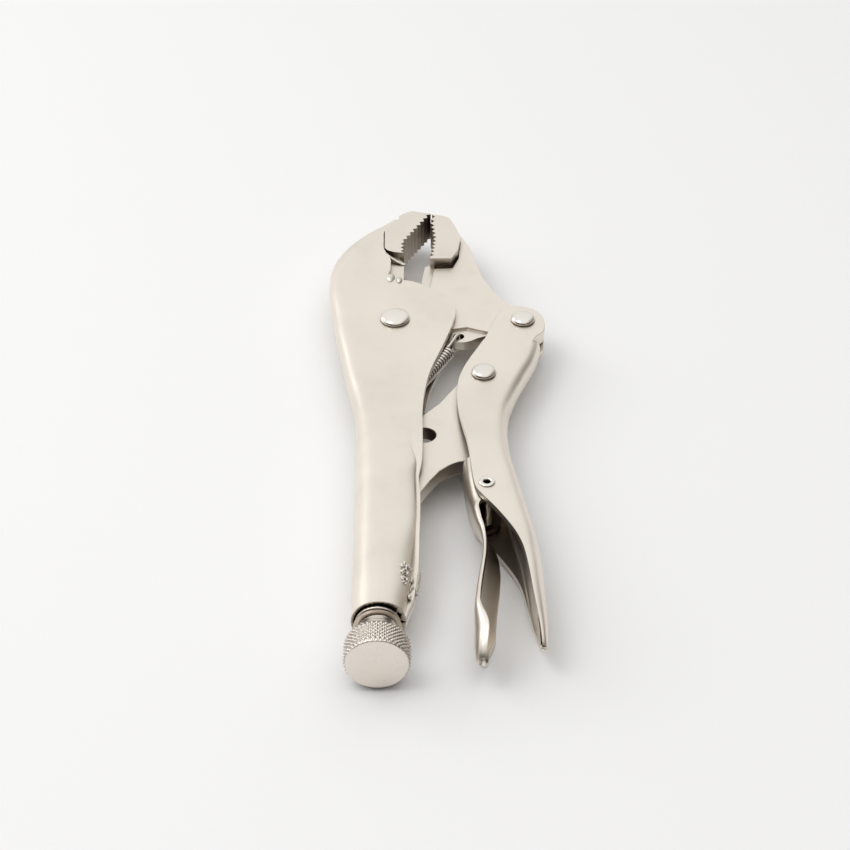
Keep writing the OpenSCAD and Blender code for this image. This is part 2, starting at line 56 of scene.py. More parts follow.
MM = 0.001
CENTRE = Vector((14.15, -51.9, -10.8))
SHEET = 2.1
HALF_SLOT = 2.9
WALL_Z = HALF_SLOT + SHEET
LEVER_W = 10.2
TUBE_X, TUBE_END = -3.9, 153.4
MOUTH_R, MOUTH_DEPTH = 7.0, 3.0
KNOB_FRONT, KNOB_R, KNOB_LEN = 162.8, 10.25, 9.8
THREAD_R, PITCH, SCREW_TIP = 5.95, 1.75, 119.0
LEVER_PIVOT = (44.3, -0.6)
TOGGLE_PIVOT = (30.2, -32.0)
RELEASE_PIVOT = (30.0, -98.0)
SPRING_TOP = Vector((22.0, -5.8, 0.0))
SPRING_FOOT = Vector((-9.6, -66.0, 0.0))
COIL_R, WIRE_D, TURNS, PER_TURN = 2.6, 1.1, 37, 16
TAIL_LEAN = 0.3
RELEASE_SHEET = 1.6
RIM_ROUND, RELEASE_RIM_ROUND = 0.35, 0.3
EAR_PLAY = 0.04
EYELET_HOLE_R, RELEASE_HOLE_R = 1.85, 1.95
# Shank and head radii of the rivets, and the rim and full height of their heads
MAIN_RIVET, SMALL_RIVET = (3.4, 5.15), (2.7, 4.15)
HEAD_EDGE, HEAD_HEIGHT = 0.45, 2.3


def place(x, y, z=0.0):
    """A point of the drawing, in the row frame and in metres."""
    return (Vector((x, y, z)) - CENTRE) * MM


# ---- materials ---------------------------------------------------------------

def new_material(name):
    mat = bpy.data.materials.new(name)
    mat.use_nodes = True
    tree = mat.node_tree
    return mat, tree, tree.nodes["Principled BSDF"]


def add(tree, kind, **values):
    node = tree.nodes.new(kind)
    for key, value in values.items():
        if key in node.inputs:
            node.inputs[key].default_value = value
        else:
            setattr(node, key, value)
    return node


def object_coords(tree, scale=(1, 1, 1), turn=(0, 0, 0)):
    coords = add(tree, "ShaderNodeTexCoord")
    mapping = add(tree, "ShaderNodeMapping")
    mapping.inputs["Scale"].default_value = scale
    mapping.inputs["Rotation"].default_value = turn
    tree.links.new(coords.outputs["Object"], mapping.inputs["Vector"])
    return mapping.outputs["Vector"]


def noise(tree, where, scale, detail=3.0, rough=0.5):
    node = add(tree, "ShaderNodeTexNoise", Scale=scale, Detail=detail, Roughness=rough)
    tree.links.new(where, node.inputs["Vector"])
    return node.outputs["Fac"]


def ramp(tree, fac, stops):
    node = add(tree, "ShaderNodeValToRGB")
    ends = node.color_ramp.elements
    while len(ends) < len(stops):
        ends.new(0.5)
    for end, (at, colour) in zip(ends, stops):
        end.position = at
        end.color = (*colour, 1)
    tree.links.new(fac, node.inputs["Fac"])
    return node.outputs["Color"]


def spread(tree, fac, low, high):
    node = add(tree, "ShaderNodeMapRange")
    node.inputs["To Min"].default_value = low
    node.inputs["To Max"].default_value = high
    tree.links.new(fac, node.inputs["Value"])
    return node.outputs["Result"]


def mix(tree, fac, a, b, how="MIX"):
    node = tree.nodes.new("ShaderNodeMix")
    node.data_type = "RGBA"
    node.blend_type = how
    for value, socket in ((fac, node.inputs[0]), (a, node.inputs[6]), (b, node.inputs[7])):
        if hasattr(value, "is_output"):
            tree.links.new(value, socket)
        else:
            socket.default_value = value
    return node.outputs[2]


def shade_inside(tree, reach, samples, local, stops):
    """Painted shade: dark brown where the surface faces something nearer than reach."""
    node = add(tree, "ShaderNodeAmbientOcclusion", Distance=reach, samples=samples, only_local=local)
    return ramp(tree, node.outputs["AO"], stops)


# Colours of the painted shade, the darkest and the half dark, in the insides and between parts.
PAINTED_SHADE_DARK = (0.11, 0.09, 0.075)
PAINTED_SHADE_HALF = (0.5, 0.45, 0.4)
INSIDE_REACH, SHADE_SAMPLES = 0.022, 6
GRAIN_DEPTH = 0.0001


def nickel(name, tint, rough, grain, grain_scale=900, stretch=(1, 1, 1), reach=0.005):
    """Nickel plate over steel: cloudy tone, fine grain, and painted shade in the insides and where
    parts meet.
    """
    mat, tree, shader = new_material(name)
    cloud = noise(tree, object_coords(tree), 45, 4, 0.6)
    fine = noise(tree, object_coords(tree, stretch), grain_scale, 4, 0.7)
    scuff = noise(tree, object_coords(tree, (1, 0.12, 1), (0, 0, 0.4)), 420, 6, 0.75)
    light = [min(c * 1.03, 1) for c in tint]
    dark = [c * 0.94 for c in tint]
    tone = ramp(tree, cloud, [(0.3, dark), (0.5, tint), (0.7, light)])
    # Painted shade in the channels' insides, from the part's own walls.
    painted_inside_shade = shade_inside(tree, INSIDE_REACH, SHADE_SAMPLES, True,
                          [(0.1, PAINTED_SHADE_DARK), (0.42, PAINTED_SHADE_HALF), (0.6, (1, 1, 1))])
    # Painted shade between parts and against the floor, within the material's reach.
    painted_joint_shade = shade_inside(tree, reach, SHADE_SAMPLES, False,
                          [(0.1, PAINTED_SHADE_DARK), (0.4, PAINTED_SHADE_HALF), (0.66, (1, 1, 1))])
    # Both painted shades are multiplied into the base colour.
    shade = mix(tree, 1.0, painted_inside_shade, painted_joint_shade, "MULTIPLY")
    tree.links.new(mix(tree, 1.0, tone, shade, "MULTIPLY"), shader.inputs["Base Color"])
    tree.links.new(spread(tree, cloud, rough - 0.06, rough + 0.08), shader.inputs["Roughness"])
    shader.inputs["Metallic"].default_value = 1.0
    first = add(tree, "ShaderNodeBump", Strength=grain, Distance=GRAIN_DEPTH)
    tree.links.new(fine, first.inputs["Height"])
    second = add(tree, "ShaderNodeBump", Strength=grain * 0.6, Distance=GRAIN_DEPTH)
    tree.links.new(scuff, second.inputs["Height"])
    tree.links.new(first.outputs["Normal"], second.inputs["Normal"])
    tree.links.new(second.outputs["Normal"], shader.inputs["Normal"])
    return mat


# The reach sets how far each material's painted shade spreads; the thin sheet's wide reach paints shade
# over the release lever's shallow inside.
PRESSED = nickel("satin_nickel_pressed", (0.835, 0.775, 0.69), 0.35, 0.22)
FORGED = nickel("satin_nickel_forged", (0.80, 0.74, 0.66), 0.34, 0.35, 650, reach=0.011)
THIN = nickel("satin_nickel_thin_sheet", (0.80, 0.74, 0.66), 0.3, 0.22, reach=0.02)
TURNED = nickel("satin_nickel_turned", (0.80, 0.74, 0.67), 0.26, 0.12)
RIVET = nickel("polished_nickel_rivet", (0.84, 0.80, 0.74), 0.12, 0.06, reach=0.009)
WELD = nickel("plated_weld", (0.76, 0.725, 0.67), 0.42, 0.8, 380)
WIRE = nickel("bright_spring_wire", (0.84, 0.80, 0.75), 0.2, 0.1, reach=0.0012)


# ---- making and finishing meshes ----------------------------------------------

def loose(name, bm):
    """An object from a bmesh in drawing millimetres."""
    bmesh.ops.translate(bm, verts=bm.verts, vec=-CENTRE)
    bmesh.ops.scale(bm, verts=bm.verts, vec=(MM, MM, MM))
    mesh = bpy.data.meshes.new(name)
    bm.to_mesh(mesh)
    bm.free()
    obj = bpy.data.objects.new(name, mesh)
    bpy.context.scene.collection.objects.link(obj)
    return obj


def piece(name, bm, mat, body, slot, *nodes):
    """A finished object from a bmesh in drawing millimetres."""
    return dress(loose(name, bm), mat, body, slot, *nodes)


def dress(obj, mat, body, slot, *nodes):
    """Gives an object its finish, and the body and nodes that it stands for."""
    if obj.name not in bpy.context.scene.collection.objects:
        bpy.context.scene.collection.objects.link(obj)
    obj.data.materials.clear()
    obj.data.materials.append(mat)
    for face in obj.data.polygons:
        face.use_smooth = True
    if body:
        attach(obj, body)
        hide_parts(*nodes)
    return obj


def keep_flats(obj):
    """Shades the flats flat and the bends round."""
    normals = obj.modifiers.new("flats", "WEIGHTED_NORMAL")
    normals.keep_sharp = False
    return obj


def soften(obj, width, segments=3, angle=35):
    """Rounds the edges a little and keeps the flats flat."""
    bevel = obj.modifiers.new("edge", "BEVEL")
    bevel.width = width * MM
    bevel.segments = segments
    bevel.limit_method = "ANGLE"
    bevel.angle_limit = math.radians(angle)
    bevel.use_clamp_overlap = True
    return keep_flats(obj)


def copy_of(node, name, mat, body, slot, width):
    """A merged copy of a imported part, with its edges rounded."""
    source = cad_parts[node]
    bm = bmesh.new()
    bm.from_mesh(source.data)
    bmesh.ops.remove_doubles(bm, verts=bm.verts, dist=0.000004)
    bmesh.ops.dissolve_limit(bm, angle_limit=math.radians(2), verts=bm.verts, edges=bm.edges)
    mesh = bpy.data.meshes.new(name)
    bm.to_mesh(mesh)
    bm.free()
    obj = dress(bpy.data.objects.new(name, mesh), mat, body, slot, node)
    return soften(obj, width)


def shown_mesh(obj):
    """A new mesh of the object as its modifiers show it."""
    bpy.context.view_layer.update()
    graph = bpy.context.evaluated_depsgraph_get()
    return bpy.data.meshes.new_from_object(obj.evaluated_get(graph))


def frozen(obj):
    """Turns the object's modifiers into its mesh."""
    mesh = shown_mesh(obj)
    obj.modifiers.clear()
    obj.data = mesh
    return obj


def combine(obj, tool, how):
    """Joins a helper to the object or cuts it away, and removes the helper."""
    change = obj.modifiers.new(how, "BOOLEAN")
    change.operation = how
    change.solver = "EXACT"
    change.object = tool
    frozen(obj)
    bpy.data.objects.remove(tool)


def pin_tool(x, y, radius, half):
    bm = bmesh.new()
    bmesh.ops.create_cone(bm, cap_ends=True, segments=48, radius1=radius, radius2=radius,
                          depth=2 * half)
    bmesh.ops.translate(bm, verts=bm.verts, vec=(x, y, 0))
    return loose("pin_tool", bm)


def outline_plate(bm, outline, half):
    """A flat plate of the given outline in the bmesh."""
    verts = [bm.verts.new((x, y, -half)) for x, y in outline]
    face = bm.faces.new(verts)
    made = bmesh.ops.extrude_face_region(bm, geom=[face])["geom"]
    top = [g for g in made if isinstance(g, bmesh.types.BMVert)]
    bmesh.ops.translate(bm, verts=top, vec=(0, 0, 2 * half))
    bmesh.ops.recalc_face_normals(bm, faces=bm.faces)


def spun(profile, axis_at, axis, steps=64):
    """A solid of revolution from (radius, height) points along an axis of the drawing."""
    bm = bmesh.new()
    axis = Vector(axis).normalized()
    out = Vector((1, 0, 0)) if abs(axis.x) < 0.5 else Vector((0, 1, 0))
    at = Vector(axis_at)
    verts = [bm.verts.new(at + out * r + axis * h) for r, h in profile]
    edges = [bm.edges.new(pair) for pair in zip(verts, verts[1:])]
    bmesh.ops.spin(bm, geom=verts + edges, cent=at, axis=axis, angle=2 * math.pi, steps=steps,
                   use_merge=True)
    bmesh.ops.remove_doubles(bm, verts=bm.verts, dist=0.0005)
    bmesh.ops.recalc_face_normals(bm, faces=bm.faces)
    return bm


# ---- pressed sheets ------------------------------------------------------------

def station(table, s):
    """The columns of a station table at a distance s, on a smooth curve."""
    k = max([0] + [i for i in range(len(table) - 1) if table[i][0] <= s])
    a, b = table[k], table[k + 1]
    h = b[0] - a[0]
    u = (s - a[0]) / h

    def slope(i, c):
        lo, hi = table[max(i - 1, 0)], table[min(i + 1, len(table) - 1)]
        return (hi[c] - lo[c]) / (hi[0] - lo[0])

    return [a[c] * (2 * u ** 3 - 3 * u * u + 1) + slope(k, c) * h * (u ** 3 - 2 * u * u + u)
            + b[c] * (3 * u * u - 2 * u ** 3) + slope(k + 1, c) * h * (u ** 3 - u * u)
            for c in range(1, len(a))]


def both_sides(half):
    """A whole section, rim to rim, from its upper half that starts on the back's middle."""
    return [(x, -z) for x, z in reversed(half)] + list(half[1:])


def channel_half(web, rim, w, rx, rz, corner=8, wall=4):
    """Upper half of a channel's section: back, rounded corner and flat wall."""
    depth = abs(rim - web)
    rx = min(rx, depth - 0.2)
    d = 1 if rim > web else -1
    arc = [(web + d * rx * (1 - math.cos(math.pi * i / 2 / corner)),
            w - rz + rz * math.sin(math.pi * i / 2 / corner)) for i in range(corner + 1)]
    edge = arc[-1][0]
    flat = [(edge + (rim - edge) * i / wall, w) for i in range(1, wall + 1)]
    return [(web, 0), (web, (w - rz) * 0.6)] + arc + flat


def body_half(web, rim, w, rx, rz, fall, lip, lip_z, corner=9, slope_steps=7):
    """Upper half of the body's section: back, flat cheek, rounded fall and the lip at its rim."""
    start = max(web + rx + 0.15, min(fall, rim - 0.9))
    end = min(max(lip, start + 0.2), rim - 0.3)
    arc = [(web + rx * (1 - math.cos(math.pi * i / 2 / corner)),
            w - rz + rz * math.sin(math.pi * i / 2 / corner)) for i in range(corner + 1)]
    flat = [(arc[-1][0] + (start - arc[-1][0]) * f, w) for f in (0.12, 0.4, 0.7)]
    down = [(start + (end - start) * math.sin(math.pi / 2 * j / slope_steps),
             lip_z + (w - lip_z) * math.cos(math.pi / 2 * j / slope_steps))
            for j in range(slope_steps + 1)]
    tail = [(end + (rim - end) * f, lip_z) for f in (0.35, 0.7, 1)]
    return [(web, 0), (web, (w - rz) * 0.6)] + arc + flat + down + tail


def sheet_piece(name, sections, stops, thickness, edge):
    """A pressed sheet through the given sections, one for each distance in stops."""
    across, along = len(sections[0]) - 1, len(stops) - 1
    bm = bmesh.new()
    bmesh.ops.create_grid(bm, x_segments=across, y_segments=along, size=1)
    for v in bm.verts:
        i = round((v.co.x + 1) / 2 * across)
        j = round((v.co.y + 1) / 2 * along)
        x, z = sections[j][i]
        v.co = (x, -stops[j], z)
    bm.normal_update()
    middle = max(bm.faces, key=lambda f: f.calc_center_median().z)
    if middle.normal.z < 0:
        bmesh.ops.reverse_faces(bm, faces=bm.faces)
    obj = loose(name, bm)
    wall = obj.modifiers.new("sheet", "SOLIDIFY")
    wall.thickness = thickness * MM
    wall.offset = -1
    wall.use_even_offset = False
    frozen(obj)
    bevel = obj.modifiers.new("rim", "BEVEL")
    bevel.width = edge * MM
    bevel.segments = 3
    bevel.limit_method = "ANGLE"
    bevel.angle_limit = math.radians(55)
    frozen(obj)
    return obj


def finish_sheet(obj, mat, body, slot, *nodes):
    return keep_flats(dress(obj, mat, body, slot, *nodes))


def spaced(first, last, step):
    """Even stops from first to last, about a step apart."""
    count = max(1, round((last - first) / step))
    return [first + (last - first) * i / count for i in range(count + 1)]


# Station, back, rim, half width, corner across and along the width, where the cheek starts to
# fall, where the lip starts, and the lip's height
BODY_TABLE = [
    [-63.5, -2.4, 0.7, 5, 2, 4.2, -1.2, -0.6, 5],
    [-60, -6.3, -1.7, 5, 3, 4.4, -3, -2.4, 5],
    [-56, -10.8, -4.3, 5, 3.4, 4.4, -6.2, -5.2, 5],
    [-50, -16.2, -4.5, 5, 4, 4.4, -6.6, -5.4, 5],
    [-44, -19.8, -4.3, 5, 4.4, 4.4, -6.6, -5.4, 5],
    [-38, -22.2, -2, 5, 4.6, 4.4, -6, -4, 5],
    [-32, -23.3, -1.9, 5, 4.6, 4.4, -6, -4, 5],
    [-25, -23.5, -1.8, 5, 4.6, 4.4, -6, -4, 5],
    [-23.6, -23.5, 5.2, 5, 4.6, 4.4, -6, -4, 5],
    [-19.5, -23.3, 12, 5, 4.6, 4.4, -6, -4, 5],
    [-14.2, -22.8, 18.4, 5, 4.6, 4.4, -6, -4, 5],
    [-9, -22.1, 20.6, 5, 4.6, 4.4, -6, -4, 5],
    [-4, -21.4, 21, 5, 4.6, 4.4, -6, -4, 5],
    [0, -21, 20.4, 5, 4.6, 4.4, -6, -4, 5],
    [7, -20.2, 18.9, 5, 4.6, 4.4, -4, 0, 5],
    [19, -18.2, 15.5, 5, 4.6, 4.4, -2, 6, 5],
    [31, -16.4, 12.1, 5.2, 5, 4.6, 0, 6, 5.2],
    [42, -14.4, 10.4, 5.7, 5.4, 5, 0, 6, 5.7],
    [53, -12.9, 9.6, 6.4, 6, 5.6, 0, 6, 6.4],
    [64, -12.2, 9.6, 7.2, 6.8, 6.6, 0, 6, 7.1],
    [75, -12.1, 9.6, 7.8, 7.8, 7.4, 0, 6, 7.1],
    [82, -12.1, 9.3, 8.1, 8.1, 8, -1, 7.6, 6.4],
    [88, -12.1, 8.4, 8.2, 8.2, 8.15, -2, 7.5, 5],
    [96, -12.1, 8.8, 8.2, 8.2, 8.15, -2.6, 7.7, 5],
    [106, -12.1, 8.9, 8.2, 8.2, 8.15, -3, 7.8, 5],
    [115, -12.1, 8.7, 8.2, 8.2, 8.15, -3.4, 7.5, 5],
    [126, -12.1, 8.5, 8.2, 8.2, 8.15, -3.6, 7.2, 2.6],
    [130, -12.1, 8.4, 8.2, 8.2, 8.15, -3.6, 7, 2.3],
    [136, -12.1, 7.9, 8.2, 8.2, 8.15, -3.6, 6.4, 2.3],
    [145, -12.1, 6.9, 8.2, 8.2, 8.15, -3.6, 5.4, 2.3],
    [150, -12.1, 5.4, 8.2, 8.2, 8.15, -3.6, 4.6, 2.3],
    [154, -12.1, 4.6, 8.2, 8.2, 8.15, -3.6, 4.2, 2.3]]


def body_shell():
    """The body's folded sheet, with the tube's mouth opened out."""
    stops = (spaced(-63.5, -25, 1.6) + [-24.6, -24.2, -23.8, -23.2] + spaced(-22, 0, 1.2)
             + spaced(2, 80, 2) + spaced(81.5, TUBE_END, 1.5))
    sections = [both_sides(body_half(*station(BODY_TABLE, s))) for s in stops]
    obj = sheet_piece("body_shell_pressed", sections, stops, SHEET, RIM_ROUND)
    bm = bmesh.new()
    bmesh.ops.create_cone(bm, cap_ends=True, segments=64, radius1=MOUTH_R + 0.5, radius2=MOUTH_R - 1,
                          depth=2 * MOUTH_DEPTH)
    bmesh.ops.rotate(bm, verts=bm.verts, cent=(0, 0, 0), matrix=Matrix.Rotation(-math.pi / 2, 3, "X"))
    bmesh.ops.translate(bm, verts=bm.verts, vec=(TUBE_X, -TUBE_END, 0))
    combine(obj, loose("mouth_tool", bm), "DIFFERENCE")
    finish_sheet(obj, PRESSED, "body", "pressed_steel", "body_shell")


# Station, back, rim, half width, corner across and along the width
LEVER_TABLE = [
    [12, 50, 30.6, 5, 3.6, 4.4], [17, 49.1, 28.4, 5, 3.8, 4.4], [23, 47.4, 25.7, 5, 4, 4.4],
    [29, 45, 23.4, 5, 4.2, 4.4], [35, 42.8, 21.8, 5, 4.4, 4.5], [39, 41.4, 21.4, 5, 4.4, 4.6],
    [44, 39.9, 21.1, 5.4, 4.4, 4.8], [50, 38.4, 21.2, 6, 4.4, 5],
    [57, 37.7, 21.8, 6.9, 4.6, 5.4], [64, 37.5, 22.7, 7.9, 4.8, 6],
    [72, 37.8, 23.8, 9, 5, 6.4], [80, 38.5, 24.6, 9.9, 5, 6.8], [88, 39.8, 25.1, 10.2, 5, 7],
    [97, 41.3, 25.9, 10.2, 5, 7], [101, 42, 26.8, 10.2, 5, 7], [105, 42.7, 29.2, 10.2, 5, 7],
    [110, 43.6, 32.3, 10.2, 5, 7.2], [116, 44.8, 35.6, 10.2, 5, 7.6],
    [122, 45.7, 38.4, 10.2, 5, 8], [128, 46.3, 40.4, 10.1, 5, 8.4],
    [134, 46.8, 41.5, 9.9, 4.8, 8.8], [141, 47.1, 42.4, 9.3, 4.4, 9],
    [148, 47.4, 43.2, 8.3, 4, 8.1], [155, 47.5, 44.2, 6.7, 3.1, 6.5], [160, 47.4, 45, 5, 2.3, 4.8],
    [163, 47.2, 45.3, 3.4, 1.8, 3.2], [164.6, 47, 45.4, 1.9, 1.5, 1.7],
    [165.2, 46.9, 45.4, 0.9, 1.4, 0.8]]
LEVER_EAR = [
    (30.2, -13.6), (31.4, -9.6), (32.8, -5.5), (35.2, 2), (36.6, 5.4), (37.5, 6.5), (38.6, 7.3),
    (40, 7.8), (41.5, 8), (43, 8.05), (44.5, 7.9), (46, 7.4), (47.4, 6.6), (48.7, 5.6), (49.8, 4.3),
    (50.7, 2.8), (51.3, 1.2), (51.7, -0.6), (51.8, -2.4), (51.75, -4.2), (51.6, -6), (51.1, -7.4),
    (50.4, -8.5), (48.6, -10.2), (47.8, -12.2), (47, -13.6)]


def lever_shell():
    """The hand lever's channel, its two ears and the eyelet's hole."""
    stops = spaced(12, 100, 2) + spaced(101.2, 134, 1.2) + spaced(136, 160, 2)
    stops += [161.5, 162.7, 163.6, 164.3, 164.8, 165.1]
    sections = [both_sides(channel_half(*station(LEVER_TABLE, s))) for s in stops]
    obj = sheet_piece("hand_lever_pressed", sections, stops, SHEET, RIM_ROUND)
    for side in (-1, 1):
        bm = bmesh.new()
        outline_plate(bm, LEVER_EAR, (SHEET - EAR_PLAY) / 2)
        edges = [e for e in bm.edges if abs(e.verts[0].co.z - e.verts[1].co.z) < 0.01]
        bmesh.ops.bevel(bm, geom=edges, offset=RIM_ROUND, segments=3, profile=0.5, affect="EDGES",
                        material=-1)
        bmesh.ops.translate(bm, verts=bm.verts, vec=(0, 0, side * (HALF_SLOT + SHEET / 2)))
        combine(obj, loose("ear", bm), "UNION")
    combine(obj, pin_tool(*RELEASE_PIVOT, EYELET_HOLE_R, LEVER_W + 1), "DIFFERENCE")
    finish_sheet(obj, PRESSED, "hand_lever", "pressed_steel", "lever_shell")


# The same columns as the hand lever's
RELEASE_TABLE = [
    [81, 22.6, 32.6, 7.3, 3, 4.6], [84, 22.7, 34, 7.5, 3, 4.8], [90, 23.1, 34.6, 7.7, 3, 5],
    [97, 23.9, 34.8, 7.7, 3, 5], [100.5, 24.4, 33.8, 7.7, 3, 5.1], [102, 24.7, 31.4, 7.7, 3, 5.2],
    [103.6, 25, 28.6, 7.7, 3, 5.3], [106, 25.5, 28.2, 7.7, 3, 5.4], [110, 26.7, 29.6, 7.7, 3, 5.6],
    [115, 28.1, 30.9, 7.7, 3, 6], [119, 28.8, 31.4, 7.7, 2.9, 6.6], [124, 29.2, 31.6, 7.7, 2.8, 7.2],
    [130, 28.8, 31.4, 7.8, 3, 7.6], [138, 27.7, 30.6, 8, 3.5, 7.8], [145, 26.9, 29.9, 8.2, 4, 8],
    [152, 26.2, 29.5, 8.3, 4.4, 8.1], [158, 25.4, 29.7, 8.3, 4.7, 8.1], [163, 25, 29.6, 7.6, 4.6, 7.4],
    [167, 25.1, 29.2, 6.1, 4, 5.9], [169.6, 25.4, 28.8, 4.2, 3.2, 4], [171, 25.8, 28.4, 2.4, 2.4, 2.2],
    [171.7, 26.2, 28.2, 1, 1.9, 0.9]]


def ease(u):
    u = max(0.0, min(1.0, u))
    return u * u * (3 - 2 * u)


def lean(s):
    """Sideways lean of the release lever's tail, per mm of height."""
    return TAIL_LEAN * ease((s - 100) / 14) * ease((164 - s) / 12)


def release_lever():
    """The small lever between the hand lever's walls, with its leaning tail."""
    stops = (spaced(81, 99, 1.5) + spaced(99.8, 107, 0.8) + spaced(108.5, 162, 1.5)
             + [163.5, 165, 166.5, 168, 169.2, 170.2, 171, 171.5])
    sections = [[(x - lean(s) * z, z) for x, z in both_sides(channel_half(*station(RELEASE_TABLE, s)))]
                for s in stops]
    obj = sheet_piece("release_lever_pressed", sections, stops, RELEASE_SHEET, RELEASE_RIM_ROUND)
    combine(obj, pin_tool(*RELEASE_PIVOT, RELEASE_HOLE_R, LEVER_W), "DIFFERENCE")
    finish_sheet(obj, THIN, "release_lever", "pressed_steel", "release_lever")


# ---- jaws, link and welds -------------------------------------------------------

def plates():
    """The jaws and the link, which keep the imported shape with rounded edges."""
    for node, name, mat, body, slot, width in (
            ("fixed_jaw", "fixed_jaw_forged", FORGED, "body", "forged_steel", 0.3),
            ("moving_jaw_insert", "moving_jaw_forged", FORGED, "moving_jaw", "forged_steel", 0.3),
            ("moving_jaw_shell", "moving_jaw_folded", PRESSED, "moving_jaw", "pressed_steel", 0.45),
            ("toggle_link", "toggle_link_plate", PRESSED, "toggle_link", "pressed_steel", 0.4)):
        copy_of(node, name, mat, body, slot, width)


def blob(bm, at, size, seed, rough=0.08):
    """A run of weld: a round drop with an uneven skin."""
    made = bmesh.ops.create_icosphere(bm, subdivisions=3, radius=1)["verts"]
    rng = random.Random(seed)
    waves = [(Vector([rng.uniform(-4, 4) for _ in range(3)]), rng.uniform(0, 6)) for _ in range(5)]
    for v in made:
        ripple = sum(math.sin(v.co.dot(way) + phase) for way, phase in waves)
        v.co *= 1 - rough + rough * ripple / 5
        v.co = Vector(at) + Vector([c * s for c, s in zip(v.co, size)])


def round_height(x, s):
    """Height of the tube's outer skin at a place on its round, from the body's table."""
    _, _, w, _, _, fall, lip, lip_z = station(BODY_TABLE, s)
    across = min(1, max(0, (x - fall) / (lip - fall)))
    return lip_z + (w - lip_z) * math.sqrt(1 - across * across)


# Two large drops under the fixed jaw: place, size and seed
JAW_DROPS = [((-1.9, 25.4), (1.9, 2.9, 1.6), 3), ((1.3, 23.8), (1.4, 2.3, 1.5), 4)]
JAW_DROP_Z = 4.6
# Small drops: along the crimped rim, over the seam, and on the seam's rim
CRIMP_DROPS, SEAM_DROPS, RIM_DROPS = 11, 34, 8
SEAM_FROM, SEAM_LENGTH = 133, 9


def welds():
    """Weld under the fixed jaw with the crimped rim beside it, and the rough seam of the tube."""
    bm = bmesh.new()
    for side in (-1, 1):
        for (x, y), size, seed in JAW_DROPS:
            blob(bm, (x, y, side * JAW_DROP_Z), size, seed, 0.12)
        for i in range(CRIMP_DROPS):
            u = i / (CRIMP_DROPS - 1)
            at = (-3.9 + 6.9 * u, 41.4 - 4.6 * u - 0.7 * math.sin(math.pi * u), side * (4.75 - 1.7 * u))
            blob(bm, at, (0.8, 0.7, 0.6), 60 + i, 0.12)
    piece("jaw_weld_drops", bm, WELD, "body", "weld", "jaw_weld_beads")
    bm = bmesh.new()
    for side in (-1, 1):
        for i in range(SEAM_DROPS):
            u = random.random()
            x = 4.6 + random.uniform(-1.4, 1.8)
            s = SEAM_FROM + SEAM_LENGTH * u
            at = (x, -s, side * round_height(x, s))
            blob(bm, at, [random.uniform(0.45, 1.0) for _ in range(3)], 100 + i, 0.16)
        blob(bm, (5.6, -145.5, side * 3.2), (0.8, 1.0, 0.9), 90, 0.16)
        for i in range(RIM_DROPS):
            s = 132 + i * 1.15
            blob(bm, (station(BODY_TABLE, s)[1] + 0.1, -s, side * 0.9), (1.0, 1.0, 1.2), 140 + i, 0.12)
    piece("seam_weld_run", bm, WELD, "body", "weld", "seam_weld")


# ---- rivets ----------------------------------------------------------------------

def rivet(name, at, radii, body, node):
    """A rivet with a full dome on each end, over the two outer walls."""
    shank, head = radii
    half, rise = WALL_Z, HEAD_HEIGHT - HEAD_EDGE
    cap = [(head * math.sin(a) ** 0.86, half + HEAD_EDGE + rise * max(0, math.cos(a)) ** 0.9)
           for a in [math.pi / 2 * i / 20 for i in range(21)]]
    skirt = [(head - 0.12, half + 0.08), (head - 0.3, half)]
    upper = cap + skirt + [(shank, half)]
    profile = upper + [(r, -h) for r, h in reversed(upper)]
    bm = spun(profile, (at[0], at[1], 0), (0, 0, 1))
    piece(name, bm, RIVET, body, "rivet_steel", node)


def rivets():
    rivet("main_rivet", (0, 0), MAIN_RIVET, "body", "main_pivot_rivet")
    rivet("lever_rivet", LEVER_PIVOT, SMALL_RIVET, "hand_lever", "lever_pivot_rivet")
    rivet("toggle_rivet", TOGGLE_PIVOT, SMALL_RIVET, "hand_lever", "toggle_pivot_rivet")
    lip = [(1.1, LEVER_W - 0.6), (1.15, LEVER_W + 0.25), (1.4, LEVER_W + 0.52),
           (1.8, LEVER_W + 0.6), (2.3, LEVER_W + 0.5), (2.6, LEVER_W + 0.25), (2.62, LEVER_W),
           (EYELET_HOLE_R, LEVER_W)]
    profile = lip + [(r, -h) for r, h in reversed(lip)]
    bm = spun(profile + [profile[0]], (*RELEASE_PIVOT, 0), (0, 0, 1), 48)
    piece("release_eyelet_rolled", bm, RIVET, "hand_lever", "rivet_steel", "release_eyelet")


# ---- adjusting screw ---------------------------------------------------------------

